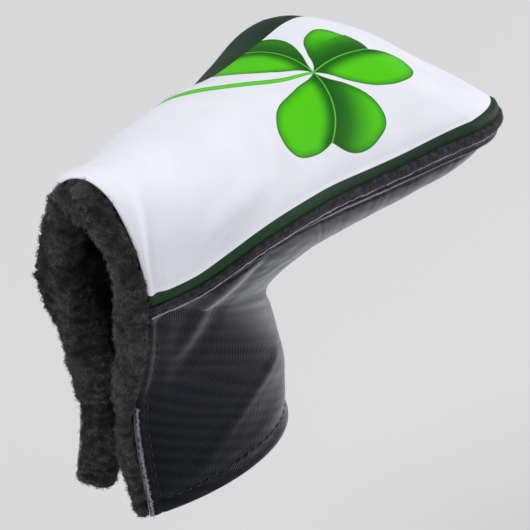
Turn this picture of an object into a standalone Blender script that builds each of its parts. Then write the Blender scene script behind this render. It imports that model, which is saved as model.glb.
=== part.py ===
"""Putter head cover: a sewn, padded cover for a blade putter, open along its heel side.

Frame: +X runs from heel to toe, +Z up, and the part is symmetric about the plane Y = 0. The
design lines below are in millimetres from the heel end of the piping. The part's origin is on
the fleece roof of the head pocket, straight above the shaft channel, where a club holds it.

Every panel is a sandwich of an outer shell, a foam sheet and a fleece lining. Each layer is a
slab between two offsets of one outer surface, which is swept with cubic arcs from the piping
or the opening edge to the ridge of the top or to the centre seam below.
"""

import math

import bmesh
import bpy
import numpy as np
from mathutils import Matrix, Vector
from mathutils.bvhtree import BVHTree

MM = 0.001

# Piping between top and sides, as (distance from heel, value) keys.
LENGTH = 144.5
TOE_START = 122.0
TOE_SQUARENESS = 3.2
PIPING_HALF_WIDTH = ((0, 19.0), (12, 22.2), (36, 27.2), (70, 30.2), (122, 38.0))
PIPING_HEIGHT = ((0, 1.0), (12, 0.0), (37, 4.0), (60, 2.6), (102, -4.6), (125, -9), (144.5, -13))
PIPING_OUTER_RADIUS = 1.3
PIPING_BORE_RADIUS = 0.85
PIPING_CORD_RADIUS = 0.55
PIPING_STAND_OFF = 0.6

# Top panel: height of its ridge, and how far its heel edge leans in at the ridge.
RIDGE_HEIGHT = ((0, 37), (35, 28.7), (70, 25.3), (86, 24), (101, 21.6))
RIDGE_FOLLOWS_TO = 86.0
TOE_COMPRESSION = 0.25
ARCH_LEAN = 2.0
ARCH_LEAN_REACH = 30.0
TOP_RISE_HANDLE = ((0, 0.58), (40, 0.58), (80, 0.5), (130, 0.4))
TOP_RIDGE_HANDLE = ((0, 0.56), (40, 0.58), (80, 0.5), (130, 0.47))

# Centre seam below: along the belly, round the inner corner and down the front of the neck.
SEAM_X = ((0, 117), (0.2, 98), (0.36, 83), (0.45, 75), (0.53, 70), (0.62, 68), (1, 68.5))
SEAM_Z = ((0, -25), (0.2, -25.8), (0.36, -25.8), (0.45, -26.5), (0.53, -29.5), (0.62, -37), (1, -70.5))
SEAM_SHARE_AT_TOE_CORNER = 0.12
SEAM_SHARE_AT_BELLY_END = 0.38
SEAM_SHARE_AT_HEEL = 0.62
BELLY_END = 76.0
SIDE_DROP_HANDLE = 0.56
SIDE_SEAM_HANDLE = 0.56

# Opening edge of the side panels, as (height, value) keys from the hem up.
HEM_HEIGHT = -70.5
EDGE_TOP = PIPING_HEIGHT[0][1]
EDGE_X = ((HEM_HEIGHT, 3), (-60, 3), (-40, 3.2), (-26, 3), (-12, 1.6), (EDGE_TOP, 0))
EDGE_HALF_WIDTH = (
    (HEM_HEIGHT, 13.4),
    (-62, 11.9),
    (-50, 9.9),
    (-40, 9.1),
    (-32, 9.8),
    (-24, 12.4),
    (-12, 16.0),
    (EDGE_TOP, PIPING_HALF_WIDTH[0][1]),
)
EDGE_HANDLE_X = 26.0
EDGE_HANDLE_OUT = 14.5
NECK_SEAM_HANDLE = ((0.5, 37), (1, 29))

# Layers, from the outside in.
SHELL = 1.0
LAYER_GAP = 0.3
FOAM = 2.0
LINING = 3.5
LINING_AT_OPENING = 8.4
OPENING_ROLL_REACH = 24.0
FLEECE_LIP = 1.6
SEAM_GAP = 0.15
CONTACT_GAP = 0.2

# Clearance above and below the piping line at which each layer starts.
SHELL_TO_PIPING = 1.6
FOAM_TO_PIPING = 0.7
LINING_TO_PIPING = 0.95

# Closing flaps: the fold line runs from the opening edge down to the hem, just outside the
# shell. Its ends are given as x, distance from the plane Y = 0, and z.
FOLD_TOP = (1.5, 18.0, -8.0)
FOLD_FOOT = (31.0, 22.6, -74.0)
FOLD_GAP = 1.2
MAGNET_RADIUS = 4.0
MAGNET_THICKNESS = 1.3
MAGNET_CLEARANCE = 0.35
POCKET_OVERRUN = 6.0
MAGNET_PLACES = {"upper": (11.0, -50.0), "lower": (11.5, -62.5)}

# Origin: the fleece roof above the middle of the shaft channel.
ORIGIN = np.array((43.0, 0.0, 20.5))

TOE_STATIONS = 7
SIDE_STATIONS = 6
FAN_STATIONS = 8
NECK_STATIONS = 9
TOP_STATIONS = 12
ARC_POINTS = 7
PIPING_SIDES = 8
TOE_CORNER_STATION = TOE_STATIONS - 1
BELLY_END_STATION = TOE_CORNER_STATION + SIDE_STATIONS - 1
HEEL_STATION = BELLY_END_STATION + FAN_STATIONS

FRONT, BACK = -1, 1
COLOURS = {
    "shell": ((0.045, 0.048, 0.052), 0.45),
    "top_shell": ((0.87, 0.87, 0.90), 0.55),
    "foam": ((0.72, 0.70, 0.62), 0.95),
    "lining": ((0.025, 0.023, 0.023), 1.0),
    "piping": ((0.02, 0.02, 0.022), 0.9),
    "cord": ((0.6, 0.58, 0.52), 0.9),
    "magnet": ((0.62, 0.62, 0.64), 0.3),
}


def through(keys, at):
    """A smooth curve through (position, value) keys, read at these positions."""
    where, value = np.array(keys, float).T
    slope = np.gradient(value, where)
    at = np.clip(at, where[0], where[-1])
    i = np.clip(np.searchsorted(where, at, side="right") - 1, 0, len(where) - 2)
    span = where[i + 1] - where[i]
    t = (at - where[i]) / span
    start = value[i] * (2 * t**3 - 3 * t**2 + 1) + slope[i] * span * (t**3 - 2 * t**2 + t)
    end = value[i + 1] * (3 * t**2 - 2 * t**3) + slope[i + 1] * span * (t**3 - t**2)
    return start + end


def points(x, y, z):
    return np.stack(np.broadcast_arrays(x, y, z), axis=-1).astype(float)


def fade(t):
    """Smoothly from 0 to 1."""
    t = np.clip(t, 0, 1)
    return t * t * (3 - 2 * t)


def toe_outline(count):
    """The front half of the toe, a superellipse, from its middle to the long side."""
    angle = np.linspace(0, math.pi / 2, count)
    across, ahead = np.sin(angle), np.cos(angle).clip(0)
    reach = (across**TOE_SQUARENESS + ahead**TOE_SQUARENESS) ** (-1 / TOE_SQUARENESS)
    x = TOE_START + (LENGTH - TOE_START) * ahead * reach
    y = PIPING_HALF_WIDTH[-1][1] * across * reach
    return points(x, -y, through(PIPING_HEIGHT, x))


def long_side(x):
    """The piping line along the front side."""
    return points(x, -through(PIPING_HALF_WIDTH, x), through(PIPING_HEIGHT, x))


def opening_edge(z):
    return points(through(EDGE_X, z), -through(EDGE_HALF_WIDTH, z), z)


def seam(along):
    """The centre seam, from 0 at the toe end of the belly to 1 at the hem."""
    return points(through(SEAM_X, along), 0, through(SEAM_Z, along))


def arcs(start, start_handle, end_handle, end, count=ARC_POINTS):
    """Cubic arcs from each start to each end, as a grid of stations by arc points."""
    t = np.linspace(0, 1, count)[None, :, None]
    a, b = start[:, None], (start + start_handle)[:, None]
    c, d = (end + end_handle)[:, None], end[:, None]
    return a * (1 - t) ** 3 + 3 * b * (1 - t) ** 2 * t + 3 * c * (1 - t) * t**2 + d * t**3


def top_surface():
    """The front half of the top's outer surface, from the piping up to the ridge."""
    x = np.linspace(TOE_START, 0, TOP_STATIONS + 1)[1:]
    start = np.concatenate([toe_outline(TOE_STATIONS), long_side(x)])
    past = np.clip(start[:, 0] - RIDGE_FOLLOWS_TO, 0, None)
    ridge_x = start[:, 0] - past * (1 - TOE_COMPRESSION)
    ridge_z = through(RIDGE_HEIGHT, ridge_x)
    end = points(ridge_x, 0, ridge_z)
    slope = np.gradient(ridge_z, ridge_x)
    rise = points(0, 0, (end - start)[:, 2] * through(TOP_RISE_HANDLE, start[:, 0]))
    run = (start - end) * through(TOP_RIDGE_HANDLE, start[:, 0])[:, None]
    run[:, 2] = run[:, 0] * slope
    grid = arcs(start, rise, run, end)
    lean = ARCH_LEAN * grid[..., 2] / RIDGE_HEIGHT[0][1]
    grid[..., 0] += lean * fade(1 - grid[..., 0] / ARCH_LEAN_REACH)
    return grid


def side_surface():
    """The outer surface of the front side panel, from the piping and opening edge to the seam."""
    toe = toe_outline(TOE_STATIONS)
    side = long_side(np.linspace(TOE_START, BELLY_END, SIDE_STATIONS)[1:])
    fan = long_side(np.linspace(BELLY_END, 0, FAN_STATIONS + 1)[1:])
    neck = opening_edge(np.linspace(EDGE_TOP, HEM_HEIGHT, NECK_STATIONS + 1)[1:])
    start = np.concatenate([toe, side, fan, neck])
    stops = (
        (0, 0),
        (TOE_CORNER_STATION, SEAM_SHARE_AT_TOE_CORNER),
        (BELLY_END_STATION, SEAM_SHARE_AT_BELLY_END),
        (HEEL_STATION, SEAM_SHARE_AT_HEEL),
        (len(start) - 1, 1),
    )
    along = np.interp(np.arange(len(start)), *np.array(stops, float).T)
    end = seam(along)
    tangent = np.gradient(end, axis=0)
    tangent /= np.linalg.norm(tangent, axis=1, keepdims=True)

    # On the head an arc leaves the piping straight down, and on the neck it leaves the edge
    # outward, which gives the neck its teardrop section round the shaft.
    station = np.arange(len(start))
    neck_share = fade((station - (HEEL_STATION - 2)) / 7.0)[:, None]
    fan_share = fade((station - BELLY_END_STATION) / 3.0)
    drop = (end - start) * SIDE_DROP_HANDLE
    drop[:, 0] *= fan_share
    drop[:, 1] = 0
    outward = points(EDGE_HANDLE_X, -EDGE_HANDLE_OUT, 0)
    start_handle = drop * (1 - neck_share) + outward * neck_share
    across = (start - end) * (0, 1, 0) * SIDE_SEAM_HANDLE
    bulge = points(0, -through(NECK_SEAM_HANDLE, along), 0)
    end_handle = across * (1 - neck_share) + bulge * neck_share
    toe_share = (1 - fade(station / (TOE_CORNER_STATION + 2)))[:, None]
    lengthwise = ((start - end) * tangent).sum(axis=1, keepdims=True) * tangent
    end_handle += lengthwise * SIDE_SEAM_HANDLE * toe_share
    return arcs(start, start_handle, end_handle, end)


def square_to_piping(path):
    """Level unit vectors into the cover, square to the front half of the piping line."""
    ahead = np.gradient(path, axis=0)
    normal = np.cross(ahead, (0, 0, 1))
    normal /= np.linalg.norm(normal, axis=1, keepdims=True)
    return normal if normal[-1, 1] > 0 else -normal


def inward(grid, piping_stations, flat_last_station=False):
    """Unit normals into the cover. They stay in the plane Y = 0 along the centre lines, and
    level along the piping, where the layers of top and sides meet."""
    along, across = np.gradient(grid, axis=(0, 1))
    normal = np.cross(across, along)
    if normal[..., 1].sum() < 0:
        normal = -normal
    normal[0, -1] = normal[1, -1]
    normal[:piping_stations, 0] = square_to_piping(grid[:piping_stations, 0])
    normal[:, -1, 1] = 0
    normal[0, :, 1] = 0
    if flat_last_station:
        normal[-1, :, 2] = 0
        square_to_opening = normal[piping_stations - 1 :, :2, 0]
        square_to_opening *= (0, 0.5)
    else:
        normal[-1, :, 0] = 0
    return normal / np.linalg.norm(normal, axis=-1, keepdims=True)


def lining_thickness(grid):
    """The fleece is doubled into a thick roll along the opening."""
    height = grid[..., 2]
    edge = np.where(height < 0, through(EDGE_X, height), ARCH_LEAN * height / RIDGE_HEIGHT[0][1])
    reach = fade(1 - (grid[..., 0] - edge) / OPENING_ROLL_REACH)
    return (LINING + (LINING_AT_OPENING - LINING) * reach)[..., None]


def layers(grid, normal):
    """The outer and inner surfaces of shell, foam and lining."""
    foam_at = SHELL + LAYER_GAP
    lining_at = foam_at + FOAM + LAYER_GAP
    lined = normal * lining_thickness(grid)
    return {
        "shell": (grid, grid + normal * SHELL),
        "foam": (grid + normal * foam_at, grid + normal * (foam_at + FOAM)),
        "lining": (grid + normal * lining_at, grid + normal * lining_at + lined),
    }


def start_clear_of_piping(surface, columns, distance):
    """Moves the edge that meets the piping away from it, easing off over the first columns."""
    moved = surface.copy()
    ease = 1 - np.linspace(0, 1, 4)[:3]
    moved[columns, :3, 2] += distance * ease
    return moved


def grid_quads(rows, columns, index):
    cells = [(i, j) for i in range(rows - 1) for j in range(columns - 1)]
    return [(index[i, j], index[i + 1, j], index[i + 1, j + 1], index[i, j + 1]) for i, j in cells]


def one_side(surface):
    """Vertices and quads of one grid."""
    rows, columns = surface.shape[:2]
    index = np.arange(rows * columns).reshape(rows, columns)
    return surface.reshape(-1, 3), grid_quads(rows, columns, index)


def both_sides(surface):
    """A front grid and its mirror image, joined along the ridge and the toe's middle line."""
    rows, columns = surface.shape[:2]
    front = np.arange(rows * columns).reshape(rows, columns)
    back = front + rows * columns
    back[0, :] = front[0, :]
    back[:, -1] = front[:, -1]
    vertices = np.concatenate([surface.reshape(-1, 3), (surface * (1, -1, 1)).reshape(-1, 3)])
    mirrored = [quad[::-1] for quad in grid_quads(rows, columns, back)]
    return vertices, grid_quads(rows, columns, front) + mirrored


def slab_mesh(outer, inner, spread):
    """A closed solid between two surfaces that share one grid."""
    shape = bmesh.new()
    outer_points, quads = spread(outer)
    inner_points, _ = spread(inner)
    used = sorted({i for quad in quads for i in quad})
    above = {i: shape.verts.new(outer_points[i]) for i in used}
    below = {i: shape.verts.new(inner_points[i]) for i in used}
    for quad in quads:
        shape.faces.new([above[i] for i in quad])
    rim = [edge for edge in shape.edges if len(edge.link_faces) == 1]
    other = {above[i]: below[i] for i in used}
    for edge in rim:
        loop = edge.link_loops[0]
        a, b = loop.vert, loop.link_loop_next.vert
        shape.faces.new([b, a, other[a], other[b]])
    for quad in quads:
        shape.faces.new([below[i] for i in reversed(quad)])
    bmesh.ops.triangulate(shape, faces=shape.faces[:])
    bmesh.ops.recalc_face_normals(shape, faces=shape.faces[:])
    return shape


def keep_side_of_plane(shape, point, normal):
    """Cuts a closed solid with a plane, keeps the part the normal points away from, and closes it."""
    everything = shape.verts[:] + shape.edges[:] + shape.faces[:]
    cut = bmesh.ops.bisect_plane(
        shape, geom=everything, dist=1e-5, plane_co=point, plane_no=normal, clear_outer=True
    )
    edges = [item for item in cut["geom_cut"] if isinstance(item, bmesh.types.BMEdge)]
    cap = bmesh.ops.contextual_create(shape, geom=edges)["faces"]
    bmesh.ops.triangulate(shape, faces=cap)
    bmesh.ops.recalc_face_normals(shape, faces=shape.faces[:])


def material(name, kind):
    colour, roughness = COLOURS[kind]
    made = bpy.data.materials.new(name)
    made.use_nodes = True
    surface = made.node_tree.nodes["Principled BSDF"]
    surface.inputs["Base Color"].default_value = (*colour, 1)
    surface.inputs["Roughness"].default_value = roughness
    surface.inputs["Metallic"].default_value = 1.0 if kind == "magnet" else 0.0
    return made


def place(shape, name, kind, pivot=None):
    """Makes the object, in metres, with its own origin at the pivot if it has one."""
    pivot = ORIGIN if pivot is None else np.array(pivot, float)
    for vertex in shape.verts:
        vertex.co = (vertex.co - Vector(pivot)) * MM
    mesh = bpy.data.meshes.new(name)
    shape.to_mesh(mesh)
    shape.free()
    mesh.materials.append(material(name, kind))
    mesh.shade_smooth()
    mesh.set_sharp_from_angle(angle=math.radians(40))
    made = bpy.data.objects.new(name, mesh)
    made.location = (pivot - ORIGIN) * MM
    bpy.context.scene.collection.objects.link(made)
    return made


def build_top():
    grid = top_surface()
    stack = layers(grid, inward(grid, len(grid)))
    clear = {"shell": SHELL_TO_PIPING, "foam": FOAM_TO_PIPING, "lining": LINING_TO_PIPING}
    for layer, (outer, inner) in stack.items():
        outer, inner = (start_clear_of_piping(s, slice(None), clear[layer]) for s in (outer, inner))
        kind = "top_shell" if layer == "shell" else layer
        place(slab_mesh(outer, inner, both_sides), f"top_{layer}", kind)


def fold_plane(side):
    """The top of the fold line, and the normal of the plane it lies in, towards the flap."""
    top, foot = (Vector((x, side * out, z)) for x, out, z in (FOLD_TOP, FOLD_FOOT))
    towards_flap = (foot - top).cross(Vector((0, 1, 0))).normalized()
    if towards_flap.x > 0:
        towards_flap.negate()
    return top, towards_flap


def side_layers():
    """The layers of the whole front side panel before it is cut into panel and flap."""
    grid = side_surface()
    piping_stations = HEEL_STATION + 1
    stack = layers(grid, inward(grid, piping_stations, flat_last_station=True))
    clear = {"shell": SHELL_TO_PIPING, "foam": FOAM_TO_PIPING, "lining": LINING_TO_PIPING}
    on_piping = slice(0, piping_stations)
    finished = {}
    for layer, surfaces in stack.items():
        surfaces = [start_clear_of_piping(s, on_piping, -clear[layer]) for s in surfaces]
        if layer == "lining":
            for surface in surfaces:
                surface[-1, :, 2] -= FLEECE_LIP
                surface[..., 1] = surface[..., 1].clip(max=SEAM_GAP - CONTACT_GAP)
        for surface in surfaces:
            surface[..., 1] -= SEAM_GAP
        finished[layer] = surfaces
    return finished


def magnet_seat(foam_slab, side, place_xz):
    """Centre and inward direction of the pocket in the flap's foam at this place."""
    x, z = place_xz
    tree = BVHTree.FromBMesh(foam_slab)
    outside = Vector((x, side * LENGTH, z))
    across = Vector((0, -side, 0))
    outer, facing, _, _ = tree.ray_cast(outside, across)
    inner, _, _, _ = tree.ray_cast(outer + across * LAYER_GAP, across)
    return (outer + inner) / 2, -facing


def disc(radius, thickness, centre, direction, segments=20):
    shape = bmesh.new()
    turn = direction.to_track_quat("Z", "Y").to_matrix().to_4x4()
    bmesh.ops.create_cone(
        shape,
        cap_ends=True,
        segments=segments,
        radius1=radius,
        radius2=radius,
        depth=thickness,
        matrix=Matrix.Translation(centre) @ turn,
    )
    return shape


def cut_pocket(foam, seat, name, pivot):
    """A round hole through the flap's foam for a magnet."""
    centre, direction = seat
    hole = disc(MAGNET_RADIUS + MAGNET_CLEARANCE, FOAM + POCKET_OVERRUN, centre, direction)
    cutter = place(hole, name + "_cutter", "foam", pivot)
    cutter.hide_render = True
    cutter.display_type = "WIRE"
    cut = foam.modifiers.new("magnet_pocket", "BOOLEAN")
    cut.operation = "DIFFERENCE"
    cut.object = cutter


def build_side(side, word):
    fold_point, towards_flap = fold_plane(side)
    for layer, (outer, inner) in side_layers().items():
        facing = (1, -side, 1)
        parts = {"side": (-1, None), "flap": (1, fold_point)}
        for part, (keep, pivot) in parts.items():
            shape = slab_mesh(outer * facing, inner * facing, one_side)
            plane_point = fold_point + towards_flap * keep * FOLD_GAP / 2
            keep_side_of_plane(shape, plane_point, towards_flap * -keep)
            if part == "flap" and layer == "foam":
                seats = {level: magnet_seat(shape, side, at) for level, at in MAGNET_PLACES.items()}
                foam = place(shape, f"{word}_{part}_{layer}", layer, pivot)
            else:
                place(shape, f"{word}_{part}_{layer}", layer, pivot)
    for level, seat in seats.items():
        name = f"{word}_flap_{level}_magnet"
        cut_pocket(foam, seat, name, fold_point)
        place(disc(MAGNET_RADIUS, MAGNET_THICKNESS, *seat), name, "magnet", fold_point)


def piping_path():
    """The centre line of the piping, from the front heel round the toe to the back heel."""
    x = np.linspace(TOE_START, 0, TOP_STATIONS + 1)[1:]
    front = np.concatenate([toe_outline(TOE_STATIONS + 2), long_side(x)])
    path = np.concatenate([front[::-1], front[1:] * (1, -1, 1)])
    ahead = np.gradient(path, axis=0)
    outward = np.cross(ahead, (0, 0, 1))
    outward /= np.linalg.norm(outward, axis=1, keepdims=True)
    if outward[0, 1] > 0:
        outward = -outward
    return path + outward * PIPING_STAND_OFF, outward


def ring_grid(path, outward, radius, sides):
    angle = np.arange(sides) * 2 * math.pi / sides
    up = np.array((0.0, 0.0, 1.0))
    spoke = np.cos(angle)[None, :, None] * outward[:, None] + np.sin(angle)[None, :, None] * up
    return path[:, None] + radius * spoke


def tube(path, outward, radius, sides, bore=None):
    """A round tube along the path with flat ends, solid or with a bore that is open at both."""
    shape = bmesh.new()
    walls = []
    for size in (radius, bore) if bore else (radius,):
        rings = [[shape.verts.new(p) for p in ring] for ring in ring_grid(path, outward, size, sides)]
        for near, far in zip(rings, rings[1:]):
            for i in range(sides):
                j = (i + 1) % sides
                shape.faces.new((near[i], near[j], far[j], far[i]))
        walls.append(rings)
    for end in (0, -1):
        if bore:
            for i in range(sides):
                j = (i + 1) % sides
                outer, inner = walls[0][end], walls[1][end]
                shape.faces.new((outer[i], outer[j], inner[j], inner[i]))
        else:
            shape.faces.new(walls[0][end])
    bmesh.ops.triangulate(shape, faces=shape.faces[:])
    bmesh.ops.recalc_face_normals(shape, faces=shape.faces[:])
    return shape


def build_piping():
    path, outward = piping_path()
    cover = tube(path, outward, PIPING_OUTER_RADIUS, PIPING_SIDES, PIPING_BORE_RADIUS)
    place(cover, "seam_piping", "piping")
    cord = tube(path, outward, PIPING_CORD_RADIUS, PIPING_SIDES)
    place(cord, "piping_cord", "cord")


def main():
    for thing in list(bpy.data.objects):
        bpy.data.objects.remove(thing)
    build_top()
    build_side(FRONT, "front")
    build_side(BACK, "back")
    build_piping()


main()
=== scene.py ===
"""The looks of the putter head cover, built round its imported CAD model.

Design lines are in millimetres from the heel end of the piping, as in the CAD source: +X runs
from heel to toe, the front side is -Y, and +Z is up. The panels are swept again here, finely,
and given their folds, hems, stitches, pile and printed fabric.
"""

import itertools
import math

import bmesh
import bpy
import numpy as np
from mathutils import Matrix, Vector


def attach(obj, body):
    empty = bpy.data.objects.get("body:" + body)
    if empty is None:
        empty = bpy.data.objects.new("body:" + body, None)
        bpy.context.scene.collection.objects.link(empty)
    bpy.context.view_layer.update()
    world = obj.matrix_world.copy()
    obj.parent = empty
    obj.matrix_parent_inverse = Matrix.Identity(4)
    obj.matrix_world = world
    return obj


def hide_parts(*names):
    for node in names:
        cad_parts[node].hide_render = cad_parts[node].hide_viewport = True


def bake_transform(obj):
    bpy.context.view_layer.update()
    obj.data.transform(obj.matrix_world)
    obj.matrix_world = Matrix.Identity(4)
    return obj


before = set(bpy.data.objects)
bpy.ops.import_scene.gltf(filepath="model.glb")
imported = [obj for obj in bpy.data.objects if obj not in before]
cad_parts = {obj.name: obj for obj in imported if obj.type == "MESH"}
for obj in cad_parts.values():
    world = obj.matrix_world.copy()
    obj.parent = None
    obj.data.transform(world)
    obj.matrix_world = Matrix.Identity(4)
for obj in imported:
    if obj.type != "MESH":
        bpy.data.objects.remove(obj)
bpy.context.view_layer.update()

MM = 0.001
ORIGIN = np.array((43.0, 0.0, 20.5))

# Design lines of the cover, as (position, value) keys.
LENGTH = 144.5
TOE_START = 122.0
TOE_SQUARENESS = 3.2
PIPING_HALF_WIDTH = ((0, 19.0), (12, 22.2), (36, 27.2), (70, 30.2), (122, 38.0))
PIPING_HEIGHT = ((0, 1.0), (12, 0.0), (37, 4.0), (60, 2.6), (102, -4.6), (125, -9), (144.5, -13))
RIDGE_HEIGHT = ((0, 37), (35, 28.7), (70, 25.3), (86, 24), (101, 21.6))
RIDGE_FOLLOWS_TO = 86.0
TOE_COMPRESSION = 0.25
ARCH_LEAN = 2.0
ARCH_LEAN_REACH = 30.0
TOP_RISE_HANDLE = ((0, 0.58), (40, 0.58), (80, 0.5), (130, 0.4))
TOP_RIDGE_HANDLE = ((0, 0.56), (40, 0.58), (80, 0.5), (130, 0.47))
SEAM_X = ((0, 117), (0.2, 98), (0.36, 83), (0.45, 75), (0.53, 70), (0.62, 68), (1, 68.5))
SEAM_Z = ((0, -25), (0.2, -25.8), (0.36, -25.8), (0.45, -26.5), (0.53, -29.5), (0.62, -37), (1, -70.5))
BELLY_END = 76.0
SIDE_DROP_HANDLE = 0.56
SIDE_SEAM_HANDLE = 0.56
HEM_HEIGHT = -70.5
EDGE_TOP = 1.0
EDGE_X = ((HEM_HEIGHT, 3), (-60, 3), (-40, 3.2), (-26, 3), (-12, 1.6), (EDGE_TOP, 0))
EDGE_HALF_WIDTH = (
    (HEM_HEIGHT, 13.4),
    (-62, 11.9),
    (-50, 9.9),
    (-40, 9.1),
    (-32, 9.8),
    (-24, 12.4),
    (-12, 16.0),
    (EDGE_TOP, 19.0),
)
EDGE_HANDLE_X = 26.0
EDGE_HANDLE_OUT = 14.5
NECK_SEAM_HANDLE = ((0.5, 37), (1, 29))

# Stations along the edge of a side panel: round the toe, along the piping, down the opening.
TOE_CORNER = 6.0
BELLY_STATION = 11.0
HEEL_STATION = 19.0
HEM_STATION = 28.0
SEAM_SHARES = (
    (0, 0),
    (TOE_CORNER, 0.12),
    (BELLY_STATION, 0.38),
    (HEEL_STATION, 0.62),
    (HEM_STATION, 1),
)

# Layers.
SKIN = 1.0
FOAM_DEPTH = 1.45
FOAM = 1.8
FLEECE_DEPTH = 3.6
FLEECE = 3.3
FLEECE_AT_OPENING = 8.0
OPENING_ROLL_REACH = 24.0

# The fold of each closing flap, where its panels bend in the sewn cover; the panels built here are not
# bent.
FOLD_TOP = np.array((1.5, 18.0, -8.0))
FOLD_FOOT = np.array((31.0, 22.6, -74.0))
BEND_BEFORE = 4.0
BEND_AFTER = 5.0

FRONT, BACK = -1, 1


def through(keys, at):
    """A smooth curve through (position, value) keys, read at these positions."""
    where, value = np.array(keys, float).T
    slope = np.gradient(value, where)
    at = np.clip(at, where[0], where[-1])
    i = np.clip(np.searchsorted(where, at, side="right") - 1, 0, len(where) - 2)
    span = where[i + 1] - where[i]
    t = (at - where[i]) / span
    start = value[i] * (2 * t**3 - 3 * t**2 + 1) + slope[i] * span * (t**3 - 2 * t**2 + t)
    end = value[i + 1] * (3 * t**2 - 2 * t**3) + slope[i + 1] * span * (t**3 - t**2)
    return start + end


def points(x, y, z):
    return np.stack(np.broadcast_arrays(x, y, z), axis=-1).astype(float)


def fade(t):
    """Smoothly from 0 to 1."""
    t = np.clip(t, 0, 1)
    return t * t * (3 - 2 * t)


def bump(t):
    """A smooth hump, 1 at 0 and 0 beyond 1 on either side."""
    return fade(1 - np.abs(t))


def unit(v):
    return v / np.maximum(np.linalg.norm(v, axis=-1, keepdims=True), 1e-9)


def lumps(at, size, seed):
    """Smooth noise between -1 and 1 with lumps of this size."""
    count = 32
    lattice = np.random.default_rng(seed).uniform(-1, 1, (count,) * 3)
    at = np.asarray(at, float) / size
    cell = np.floor(at).astype(int)
    share = fade(at - cell)
    total = np.zeros(at.shape[:-1])
    for corner in itertools.product((0, 1), repeat=3):
        weight = np.prod(np.where(corner, share, 1 - share), axis=-1)
        i, j, k = np.moveaxis((cell + corner) % count, -1, 0)
        total += weight * lattice[i, j, k]
    return total


def piping_line(station):
    """The front half of the piping line: a superellipse round the toe, then the long side."""
    angle = np.clip(station / TOE_CORNER, 0, 1) * math.pi / 2
    across, ahead = np.sin(angle), np.cos(angle).clip(0)
    reach = (across**TOE_SQUARENESS + ahead**TOE_SQUARENESS) ** (-1 / TOE_SQUARENESS)
    stops = (TOE_CORNER, BELLY_STATION, HEEL_STATION)
    long_x = np.interp(station, stops, (TOE_START, BELLY_END, 0))
    on_toe = station < TOE_CORNER
    x = np.where(on_toe, TOE_START + (LENGTH - TOE_START) * ahead * reach, long_x)
    half_width = np.where(
        on_toe, PIPING_HALF_WIDTH[-1][1] * across * reach, through(PIPING_HALF_WIDTH, long_x)
    )
    return points(x, -half_width, through(PIPING_HEIGHT, x))


def opening_edge(z):
    return points(through(EDGE_X, z), -through(EDGE_HALF_WIDTH, z), z)


def arcs(start, start_handle, end_handle, end, t):
    t = t[None, :, None]
    a, b = start[:, None], (start + start_handle)[:, None]
    c, d = (end + end_handle)[:, None], end[:, None]
    return a * (1 - t) ** 3 + 3 * b * (1 - t) ** 2 * t + 3 * c * (1 - t) * t**2 + d * t**3


def top_surface(station, t):
    """The front half of the top, from the piping up to the ridge."""
    start = piping_line(station)
    ridge_x = start[:, 0] - np.clip(start[:, 0] - RIDGE_FOLLOWS_TO, 0, None) * (1 - TOE_COMPRESSION)
    ridge_z = through(RIDGE_HEIGHT, ridge_x)
    end = points(ridge_x, 0, ridge_z)
    slope = (through(RIDGE_HEIGHT, ridge_x + 2) - through(RIDGE_HEIGHT, ridge_x - 2)) / 4
    rise = points(0, 0, (end - start)[:, 2] * through(TOP_RISE_HANDLE, start[:, 0]))
    run = (start - end) * through(TOP_RIDGE_HANDLE, start[:, 0])[:, None]
    run[:, 2] = run[:, 0] * slope
    grid = arcs(start, rise, run, end, t)
    lean = ARCH_LEAN * grid[..., 2] / RIDGE_HEIGHT[0][1]
    grid[..., 0] += lean * fade(1 - grid[..., 0] / ARCH_LEAN_REACH)
    return grid


def side_surface(station, t):
    """The front side panel, from the piping and the opening edge to the centre seam."""
    on_edge = station > HEEL_STATION
    edge_z = np.interp(station, (HEEL_STATION, HEM_STATION), (EDGE_TOP, HEM_HEIGHT))
    start = np.where(on_edge[:, None], opening_edge(edge_z), piping_line(station))
    along = np.interp(station, *np.array(SEAM_SHARES, float).T)
    end = points(through(SEAM_X, along), 0, through(SEAM_Z, along))
    step = 0.02
    before, after = (np.clip(along + s, 0, 1) for s in (-step, step))
    tangent = unit(
        points(through(SEAM_X, after), 0, through(SEAM_Z, after))
        - points(through(SEAM_X, before), 0, through(SEAM_Z, before))
    )
    neck_share = fade((station - (HEEL_STATION - 2)) / 7.0)[:, None]
    drop = (end - start) * SIDE_DROP_HANDLE
    drop[:, 0] *= fade((station - BELLY_STATION) / 3.0)
    drop[:, 1] = 0
    outward = points(EDGE_HANDLE_X, -EDGE_HANDLE_OUT, 0)
    start_handle = drop * (1 - neck_share) + outward * neck_share
    across = (start - end) * (0, 1, 0) * SIDE_SEAM_HANDLE
    bulge = points(0, -through(NECK_SEAM_HANDLE, along), 0)
    end_handle = across * (1 - neck_share) + bulge * neck_share
    toe_share = (1 - fade(station / (TOE_CORNER + 2)))[:, None]
    lengthwise = ((start - end) * tangent).sum(axis=1, keepdims=True) * tangent
    end_handle += lengthwise * SIDE_SEAM_HANDLE * toe_share
    return arcs(start, start_handle, end_handle, end, t)


def inward(grid):
    """Unit normals into the cover, which stay in the plane Y = 0 along the centre lines."""
    along, across = np.gradient(grid, axis=(0, 1))
    normal = np.cross(across, along)
    if normal[..., 1].sum() < 0:
        normal = -normal
    normal[0, -1] = normal[1, -1]
    normal[:, -1, 1] = 0
    normal[0, :, 1] = 0
    return unit(normal)


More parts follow.
